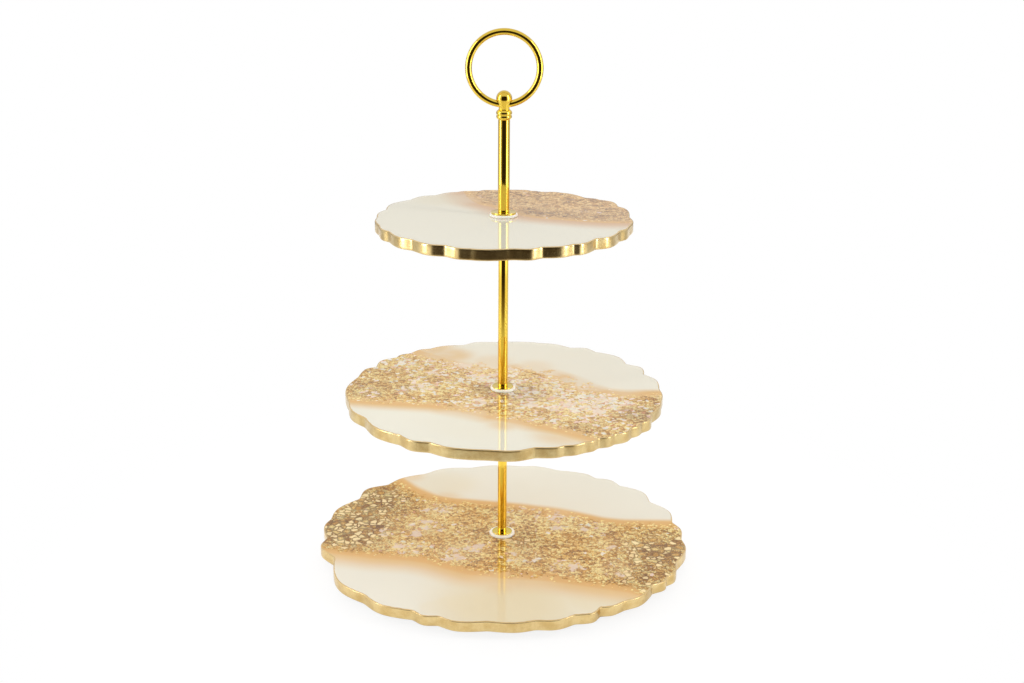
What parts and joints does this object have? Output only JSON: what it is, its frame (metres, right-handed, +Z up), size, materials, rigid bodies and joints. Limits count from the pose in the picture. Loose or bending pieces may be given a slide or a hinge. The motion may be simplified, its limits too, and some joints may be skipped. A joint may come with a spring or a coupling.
{
  "type": "tiered cake stand",
  "caption": "Three-tier serving stand: wavy-edged gilt-rimmed resin plates on a gold rod column with a swinging ring handle.",
  "frame": {"origin": "on the column's axis, at the level of the table the feet stand on", "axes": "+Z up the column, +Y towards the back, +X to the right, with the ring handle in the XZ plane"},
  "size_m": [0.3015, 0.2921, 0.4284],
  "materials": {
    "lower_resin": "ivory cast resin with a gold flake band, clear gloss coat, gilt edge",
    "middle_resin": "ivory cast resin with a gold and pearl flake band, clear gloss coat, gilt edge",
    "upper_resin": "ivory cast resin with a rose-gold flake patch, clear gloss coat, gilt edge",
    "gold": "polished gold plating",
    "nylon": "white satin nylon",
    "silicone": "cloudy clear silicone"
  },
  "bodies": {
    "base": {"lower_plate": "lower_resin", "foot_back_right": "silicone", "foot_back_left": "silicone", "foot_front_left": "silicone", "foot_front_right": "silicone"},
    "column": {"lower_nylon_washer_top": "nylon", "lower_nylon_washer_bottom": "nylon", "lower_gold_washer_top": "gold", "lower_gold_washer_bottom": "gold", "middle_nylon_washer_top": "nylon", "middle_nylon_washer_bottom": "nylon", "middle_gold_washer_top": "gold", "middle_gold_washer_bottom": "gold", "upper_nylon_washer_top": "nylon", "upper_nylon_washer_bottom": "nylon", "upper_gold_washer_top": "gold", "upper_gold_washer_bottom": "gold", "lower_rod": "gold", "middle_rod": "gold", "handle_rod": "gold", "middle_stud": "gold", "upper_stud": "gold", "base_screw": "gold", "bead_collar": "gold", "finial": "gold"},
    "middle_plate": {"middle_plate": "middle_resin"},
    "upper_plate": {"upper_plate": "upper_resin"},
    "ring": {"ring_handle": "gold"}
  },
  "joints": [
    {"name": "column_turn", "type": "hinge", "parent": "base", "child": "column", "pos_m": [0, 0, 0.015], "axis": [0, 0, 1], "continuous": true},
    {"name": "middle_plate_turn", "type": "hinge", "parent": "column", "child": "middle_plate", "pos_m": [0, 0, 0.1437], "axis": [0, 0, 1], "continuous": true},
    {"name": "upper_plate_turn", "type": "hinge", "parent": "column", "child": "upper_plate", "pos_m": [0, 0, 0.2861], "axis": [0, 0, 1], "continuous": true},
    {"name": "ring_swing", "type": "hinge", "parent": "column", "child": "ring", "pos_m": [0, 0, 0.3721], "axis": [1, 0, 0], "range_deg": [-170, 170]}
  ]
}
